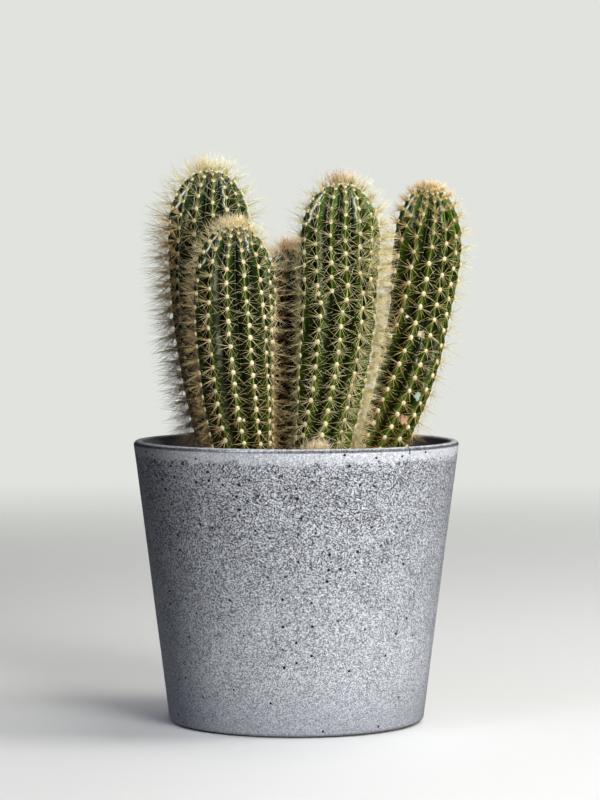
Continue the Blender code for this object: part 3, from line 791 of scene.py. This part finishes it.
def skinGuide(name, stem, table, rows):
    # the round body, with columns that follow the ribs, so that crests and grooves run clean
    total = table[-1][0]
    levels = int(total / skin["rowStep"])
    perRib = skin["columnsPerRib"]
    points, faces = [], []
    values = {"outward": [], "relief": [], "away": [], "grown": [], "swell": [], "rise": [], "shaded": []}

    def addPoint(point, *itsValues):
        points.append(point)
        for label, value in zip(values, (*itsValues, stem["shaded"])):
            values[label].append(value)
        return len(points) - 1

    below = None
    for distance in [total + skin["below"]] + [total * (1 - k / levels) for k in range(levels)]:
        rise = riseAt(table, distance)
        drop = Vector((0, 0, max(0.0, distance - total)))
        fade = min(1.0, rise * (stem["top"] - soilLevel) / skin["ribFade"] + 0.15)
        ring = {}
        layout = ribLayout(stem, distance, rise)
        for rib, left, crest, right, grown in layout:
            for column in range(perRib):
                across = 2 * column / perRib
                start, end, part = (left, crest, across) if across < 1 else (crest, right, across - 1)
                angle = start + (end - start) * part
                point, outward = skinPoint(stem, rise, angle)
                ring[rib, column] = addPoint(
                    point - drop, outward, girth(stem, rise) * fade, abs(across - 1), grown,
                    swellAt(rows[rib], distance) * grown, rise)
        if below is None:
            middle = addPoint(axisPoint(stem, 0) - drop, Vector((0, 0, -1)), 0.0, 0.0, 1.0, 0.0, 0.0)
            edge = list(ring.values())
            faces += [(middle, edge[(k + 1) % len(edge)], edge[k]) for k in range(len(edge))]
        else:
            order = [entry[0] for entry in layout]
            for k, rib in enumerate(order):
                # a rib that begins here closes on the edge of the next one below
                after = order[(k + 1) % len(order)]
                later = [order[(k + m) % len(order)] for m in range(1, len(order) + 1)]
                lowAfter = next(other for other in later if (other, 0) in below)
                for column in range(perRib):
                    last = column == perRib - 1
                    upRight = ring[after, 0] if last else ring[rib, column + 1]
                    if (rib, 0) in below:
                        lowRight = below[lowAfter, 0] if last else below[rib, column + 1]
                        faces.append((below[rib, column], lowRight, upRight, ring[rib, column]))
                    else:
                        faces.append((below[lowAfter, 0], upRight, ring[rib, column]))
        below = ring
    apex = addPoint(axisPoint(stem, 1), Vector((0, 0, 1)), 0.0, 0.0, 1.0, 0.0, 1.0)
    edge = list(below.values())
    faces += [(edge[k], edge[(k + 1) % len(edge)], apex) for k in range(len(edge))]
    return meshWithValues(name + "_body", points, faces, values)


def ribbedSkin(add, inputs):
    # sinks grooves between the crests and raises each crest a little under every areole
    relief, away, grown, swell = [
        add("InputNamedAttribute", label) for label in ("relief", "away", "grown", "swell")]
    outward = add("InputNamedAttribute", "outward", data_type="FLOAT_VECTOR")
    stand = add("Math SUBTRACT", 1.0, add("Math POWER", away, inputs["Groove shape"]))
    sunk = add("Math SUBTRACT", add("Math MULTIPLY", stand, grown), 1.0)
    sunk = add("Math MULTIPLY", add("Math MULTIPLY", sunk, inputs["Rib depth"]), relief)
    near = add("Math POWER", add("Math SUBTRACT", 1.0, away), 2.0)
    raised = add("Math MULTIPLY", add("Math MULTIPLY", near, swell), inputs["Swelling"])
    offset = add("VectorMath SCALE", outward, {"Scale": add("Math", sunk, raised)})
    ribs = add("SetShadeSmooth", add("SetPosition", inputs["Geometry"], {"Offset": offset}))
    return add("SetMaterial", ribs, {"Material": inputs["Skin"]})


def areolePoints(name, stem, table, rows):
    # one point for each areole, with what its felt and spines need to know
    def between(first, second, share):
        return [a + (b - a) * share for a, b in zip(first, second)]

    points, values = [], {}
    climb = stem["top"] - soilLevel
    radial, central, brush = stem["spines"]
    side, more = stem["thicket"]
    rootColour, tipColour, crownColour, agedColour = [
        linear(stem[part + "Colour"]) for part in ("root", "tip", "crown", "aged")]
    for rib, row in enumerate(rows):
        for distance in row:
            rise = riseAt(table, distance)
            layout = {entry[0]: entry for entry in ribLayout(stem, distance, rise)}
            crest, grown = layout[rib][2], layout[rib][4]
            point, outward = skinPoint(stem, rise, crest)
            point -= outward * girth(stem, rise) * skin["ribDepth"] * (1 - grown)
            along = axisDirection(stem, rise)
            low, high = max(0.0, rise - 0.002), min(rise + 0.002, 0.9995)
            grownOut = girth(stem, high) - girth(stem, low)
            climbed = (high - low) * climb
            normal = (outward * climbed - along * grownOut).normalized()
            crown = 1 - smooth(distance, *skin["crownSpan"])
            young = 1 - smooth(distance, *skin["youngSpan"])
            aged = 1 - smooth(rise, *skin["agedSpan"])
            facing = max(0.0, math.cos(crest - math.radians(side)))
            tip = between(tipColour, crownColour, max(crown, stem["crownRoot"] * young))
            root = between(rootColour, crownColour, stem["crownRoot"] * young)
            own = {
                "outward": normal, "upward": (along * climbed + outward * grownOut).normalized(),
                "axis": along, "crown": crown, "young": young,
                "lift": crown * stem["upright"] + spines["droop"] * (1.6 * smooth(rise, 0.45, 0.9) - 1),
                "extra": stem["tuft"] * young + more * facing ** 2 * (1 - 0.8 * young),
                "padScale": 1 + stem["padGrowth"] * young, "room": roomFor(name, point, normal),
                "radial": radial * (1 - 0.5 * young) + brush * 0.28 * crown,
                "central": central + (brush - central) * young - 0.15 * brush * crown,
                # low spines and those on the thicket's side take the aged colour: partly their age, partly
                # painted shade
                "rootColour": between(root, agedColour, max(aged * 0.5, 0.75 * facing * (1 - young))),
                "tipColour": between(tip, agedColour, max(aged, 0.6 * facing)),
                "feltColour": between(*[linear(colour) for colour in stem["feltColours"]], young),
            }
            points.append(point + normal * skin["swelling"])
            for label, value in own.items():
                values.setdefault(label, []).append(value)
    return meshWithValues(name + "_areoles", points, [], values)


def roomFor(name, point, normal):
    # how long a spine may be here before it runs into another stem
    for step in range(2, spines["roomSteps"]):
        reach = step * spines["roomStep"]
        spot = point + normal * reach
        for other, stem in stems.items():
            rise = (spot.z - soilLevel) / (stem["top"] - soilLevel)
            if other == name or not 0 <= rise < 1.02:
                continue
            if (spot - axisPoint(stem, min(rise, 1))).length < girth(stem, min(rise, 0.99)):
                return reach
    return spines["mostRoom"]


spines = {
    "thickness": 0.090 * mm, "droop": 0.20, "fan": (38, 150), "bend": 1.2, "youngFold": 0.14,
    "crownFold": 0.12, "youngThin": 0.18, "warmth": (1.0, 0.96, 0.74, 1.0),
    "padWidth": 1.0 * mm, "padHeight": 1.16 * mm, "padDepth": 0.62 * mm,
    "roomStep": 0.6 * mm, "roomSteps": 25, "mostRoom": 20 * mm,
    # what differs from one to the next: (least, most, draw)
    "draws": {
        "pad": (0.85, 1.12, 50), "fanTurn": (-0.20, 0.20, 1), "anyTurn": (0.0, 2 * math.pi, 2),
        "radialLean": (math.radians(66), math.radians(86), 3),
        "centralLean": (math.radians(4), math.radians(64), 4), "twist": (0.0, 2 * math.pi, 5),
        "length": (0.55, 1.10, 6), "thickness": (0.8, 1.15, 7), "tone": (0.0, 1.0, 8),
    },
}


def feltAndSpines(add, inputs):
    # on every areole a pad of felt, a star of low radial spines and a few that stand out
    outward, upward, axis = [add("InputNamedAttribute", label, data_type="FLOAT_VECTOR")
                             for label in ("outward", "upward", "axis")]
    crown, young, room, lift, extra, padScale, radial, central = [
        add("InputNamedAttribute", label) for label in (
            "crown", "young", "room", "lift", "extra", "padScale", "radial", "central")]
    drawn = {}
    for label, (least, most, draw) in spines["draws"].items():
        seed = add("Math", inputs["Seed"], draw)
        drawn[label] = add("RandomValue", {2: least, 3: most, 8: seed}, output=1, data_type="FLOAT")
    areoles = add("MeshToPoints", inputs["Geometry"])

    # felt pads
    lie = add("AxesToRotation", outward, upward, primary_axis="Z", secondary_axis="Y")
    size = add("Math MULTIPLY", padScale, drawn["pad"])
    size = add("VectorMath SCALE", inputs["Pad size"], {"Scale": size})
    pads = add("InstanceOnPoints", {
        "Points": areoles, "Instance": add("MeshIcoSphere", {"Radius": 1.0, "Subdivisions": 2}),
        "Rotation": lie, "Scale": size})
    pads = add("SetMaterial", pads, {"Material": inputs["Felt"]})

    # where each spine points
    count = add("Math", add("Math", inputs["Radials"], inputs["Centrals"]), extra)
    many = add("DuplicateElements", {"Geometry": areoles, "Amount": count}, domain="POINT")
    number = many.node.outputs[1]
    isCentral = add("Compare GREATER_THAN", number, add("Math SUBTRACT", inputs["Radials"], 0.5))
    # radials spread in a fan to each side of the rib, from a little upward to well downward
    pair = add("Math FLOOR", add("Math DIVIDE", number, 2.0))
    pairs = add("Math SUBTRACT", add("Math DIVIDE", inputs["Radials"], 2.0), 1.0)
    high, low = [math.radians(angle) for angle in spines["fan"]]
    fan = add("MapRange", add("Math DIVIDE", pair, pairs), {3: high, 4: low}, clamp=False)
    odd = add("Math MODULO", number, 2.0)
    side = add("Math SUBTRACT", 1.0, add("Math MULTIPLY", odd, 2.0))
    around = add("Math MULTIPLY", side, add("Math", fan, drawn["fanTurn"]))
    around = add("Mix", {0: isCentral, 2: around, 3: drawn["anyTurn"]})
    lean = add("Mix", {0: isCentral, 2: drawn["radialLean"], 3: drawn["centralLean"]})
    # on young areoles they still stand close together and point outward
    for share, fold in ((crown, spines["crownFold"]), (young, spines["youngFold"])):
        kept = add("Math SUBTRACT", 1.0, add("Math MULTIPLY", share, fold))
        lean = add("Math MULTIPLY", lean, kept)
    across = add("VectorMath CROSS_PRODUCT", outward, upward)
    way = None
    for axisOf, angle, wave in ((upward, around, "COSINE"), (across, around, "SINE")):
        part = add("VectorMath SCALE", axisOf, {"Scale": add("Math", angle, operation=wave)})
        way = add("VectorMath", way, part) if way else part
    rest = add("VectorMath SCALE", way, {"Scale": add("Math SINE", lean)})
    way = add("VectorMath SCALE", outward, {"Scale": add("Math COSINE", lean)})
    way = add("VectorMath", add("VectorMath", way, rest), add("VectorMath SCALE", axis, {"Scale": lift}))
    spin = add("AxesToRotation", way, upward, primary_axis="Z", secondary_axis="X")
    twist = add("AxisAngleToRotation", {"Axis": (0, 0, 1), "Angle": drawn["twist"]})
    spin = add("RotateRotation", spin, twist, rotation_space="LOCAL")

    # how long and thick it is
    length = add("Math MULTIPLY", add("Mix", {0: isCentral, 2: radial, 3: central}), drawn["length"])
    length = add("Math MINIMUM", length, room)
    thick = add("Math MULTIPLY", inputs["Thickness"], drawn["thickness"])
    thin = add("Math SUBTRACT", 1.0, add("Math MULTIPLY", young, spines["youngThin"]))
    thick = add("Math MULTIPLY", thick, thin)
    scale = add("CombineXYZ", thick, thick, length)
    many = add("StoreNamedAttribute", many, {"Name": "tone", "Value": drawn["tone"]},
               data_type="FLOAT", domain="POINT")

    # spines are three-sided and one long; radials are straight, the longer centrals taper late and bend
    both = add("JoinGeometry", pads)
    isRadial = add("BooleanMath NOT", isCentral)
    for chosen, segments, tip, swelling, bend in (
            (isRadial, 1, 0.35, 0.0, 0.0), (isCentral, 2, 0.0, 1.0, inputs["Bend"])):
        needle = add("MeshCone", {
            "Vertices": 3, "Side Segments": segments, "Radius Top": tip, "Radius Bottom": 1.0, "Depth": 1.0},
            fill_type="NGON")
        across = add("SeparateXYZ", add("InputPosition"))
        far = across.node.outputs[2]
        fuller = add("Math", 1.0, add("Math MULTIPLY", far, swelling))
        bow = add("Math MULTIPLY", add("Math MULTIPLY", far, far), bend)
        bent = add("CombineXYZ", add("Math", add("Math MULTIPLY", across, fuller), bow),
                   add("Math MULTIPLY", across.node.outputs[1], fuller), far)
        needle = add("StoreNamedAttribute", needle, {"Name": "along", "Value": far},
                     data_type="FLOAT", domain="POINT")
        needles = add("InstanceOnPoints", {
            "Points": many, "Selection": chosen, "Instance": add("SetPosition", needle, {"Position": bent}),
            "Rotation": spin, "Scale": scale})
        connect(both.node, Geometry=add("SetMaterial", needles, {"Material": inputs["Spine"]}))
    return add("SetShadeSmooth", add("RealizeInstances", both))


# waxy cactus skin: deep green, semi-gloss, paler along the crests, partly their own colour and partly
# a painted highlight, with painted shade deep in the grooves and a thin pale seam at the bottom of each
# groove where the young ribs part
skinColours = {
    "flank": "#384c06", "shade": "#040801", "crest": "#587212", "seam": "#4a5a30", "paintedShade": "#1a2812",
    "fresh": "#4c6e10", "old": "#50680a", "ridgeHighlight": "#c0a878", "mottleMm": 4.0, "fineMm": 0.9,
}
# scars and spots: the stem, mm along it from its top, degrees to the right of the front, radius
# in mm, how much taller than wide, and the colour
skinMarks = [
    ("stem_right", 74.8, 8.5, 1.7, 1.7, "#d8c9a0"), ("stem_right", 68.0, -24.3, 0.8, 1.0, "#e6e2d0"),
    ("stem_right", 62.0, -2.5, 0.8, 1.2, "#ece8d8"), ("stem_right", 68.1, -14.8, 0.9, 1.1, "#6e4622"),
    ("stem_right", 113.1, 26.0, 2.2, 1.2, "#c9a07a"), ("stem_right", 101.5, 36.2, 1.6, 1.3, "#9fb3a4"),
    ("stem_centre", 37.9, 15.9, 1.2, 1.0, "#7a4a26"), ("stem_front_left", 96.4, 8.5, 0.7, 1.0, "#e8e4d2"),
]


def cactusSkin():
    material, add, shader = newMaterial(
        "waxy_cactus_skin", IOR=1.4, Specular_IOR_Level=0.13, Specular_Tint=(1.0, 0.97, 0.7, 1.0))
    place = add("TexCoord", output=3)
    away, rise, shaded = [
        add("Attribute", output=2, attribute_name=label) for label in ("away", "rise", "shaded")]
    mottle, fine = [add("TexNoise", {"Vector": place, "Scale": 1000 / skinColours[size], "Detail": detail,
                                     "Roughness": rough})
                    for size, detail, rough in (("mottleMm", 4.0, 0.6), ("fineMm", 2.0, 0.5))]
    # older growth low down is yellower, partly its own colour and partly painted light, and it is held back
    # on stems in painted shade
    old = add("MapRange", rise, 0.45, 0.0, 0.0, 0.40)
    old = add("Math MULTIPLY", old, add("Math SUBTRACT", 1.0, shaded))
    young = add("MapRange", rise, 0.45, 0.75, 0.0, 0.7)
    seam = add("Math MULTIPLY", add("MapRange", away, 0.97, 0.995), young)
    layers = [
        (add("MapRange", mottle, 0.3, 0.7), skinColours["flank"]),
        (add("MapRange", rise, 0.80, 0.97, 0.0, 0.5), skinColours["fresh"]),
        # painted shade over stems that stand behind the others
        (shaded, skinColours["paintedShade"]),
        (old, skinColours["old"]),
        # painted shade deep in the grooves
        (add("MapRange", away, 0.28, 0.80, 0.0, 0.92), skinColours["shade"]),
        # paler along the crests: partly their own colour and partly a painted highlight
        (add("MapRange", away, 0.24, 0.02, 0.0, 0.45), skinColours["crest"]),
        # a thin painted highlight on each crest's edge
        (add("MapRange", away, 0.05, 0.0, 0.0, 0.35), skinColours["ridgeHighlight"]),
        (seam, skinColours["seam"]),
    ]
    ragged = add("MapRange", fine, 0.3, 0.7, -0.3, 0.3)
    for name, below, angle, radius, tall, shade in skinMarks:
        centre = skinPoint(stems[name], riseAt(meridian(stems[name]), below * mm), math.radians(angle))[0]
        spot = add("Mapping", place, {
            "Location": centre, "Scale": (radius * mm, 4 * mm, radius * tall * mm)}, vector_type="TEXTURE")
        reach = add("Math", add("VectorMath LENGTH", spot, output=1), ragged)
        layers.append((add("MapRange", reach, 1.05, 0.75, 0.0, 0.92), shade))
    connect(shader, Base_Color=layColours(add, linear(skinColours["shade"]), layers),
            Roughness=add("MapRange", fine, 0.3, 0.7, 0.14, 0.24),
            Normal=add("Bump", {"Strength": 0.3, "Distance": 0.15 * mm, "Height": fine}))
    return material


def driedSpine():
    # a dry, horny spine: pale at the root, its own colour towards the tip, with a slight gloss
    material, add, shader = newMaterial(
        "dry_straw_spine", Roughness=0.45, Specular_IOR_Level=0.15, Subsurface_Weight=0.5,
        Subsurface_Radius=(1, 1, 1), Subsurface_Scale=0.5 * mm)
    along, tone = [add("Attribute", output=2, attribute_name=label) for label in ("along", "tone")]
    root, tip = [add("Attribute", attribute_name=label) for label in ("rootColour", "tipColour")]
    colour = add("Mix", {0: add("MapRange", along, 0.1, 0.8), 6: root, 7: tip}, output=2, data_type="RGBA")
    for tint in (add("MapRange", tone, {3: 0.60, 4: 1.15}), spines["warmth"]):
        colour = add("Mix", {0: 1.0, 6: colour, 7: tint}, output=2, data_type="RGBA", blend_type="MULTIPLY")
    connect(shader, Base_Color=colour)
    return material


def areoleFelt():
    # the short cream wool that spines grow from: quite matt, a little fuzzy at its edge
    material, add, shader = newMaterial("areole_felt", Roughness=0.95, Sheen_Weight=0.4)
    wool = add("TexNoise", {"Vector": add("TexCoord", output=3), "Scale": 3500.0, "Detail": 2.0})
    own = add("Attribute", attribute_name="feltColour")
    colour = add("Mix", {0: 1.0, 6: own, 7: add("MapRange", wool, 0.3, 0.7, 0.72, 1.0)}, output=2,
                 data_type="RGBA", blend_type="MULTIPLY")
    connect(shader, Base_Color=colour,
            Normal=add("Bump", {"Strength": 0.8, "Distance": 0.1 * mm, "Height": wool}))
    return material


def makeStems():
    green, straw, felt = cactusSkin(), driedSpine(), areoleFelt()
    for name, stem in stems.items():
        table = meridian(stem)
        rows = areoleRows(stem, table)
        made = growPiece(name + "_skin", skinGuide(name, stem, table, rows), ribbedSkin, {
            "Rib depth": skin["ribDepth"], "Groove shape": skin["grooveShape"],
            "Swelling": skin["swelling"], "Skin": green,
        })
        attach(made, body)
        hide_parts(name)
        spiny = growPiece(name + "_spines", areolePoints(name, stem, table, rows), feltAndSpines, {
            "Radials": stem["counts"][0], "Centrals": stem["counts"][1],
            "Thickness": spines["thickness"] * stem["thick"], "Bend": spines["bend"], "Seed": stem["seed"],
            "Pad size": [spines[side] * stem["pads"] for side in ("padWidth", "padHeight", "padDepth")],
            "Spine": straw, "Felt": felt,
        })
        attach(spiny, body)
        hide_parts(name)
        print(name, "grown:", triangleCount(made), "+", triangleCount(spiny), "triangles,",
              sum(len(row) for row in rows), "areoles")


makePot()
makeSoil()
makeStems()
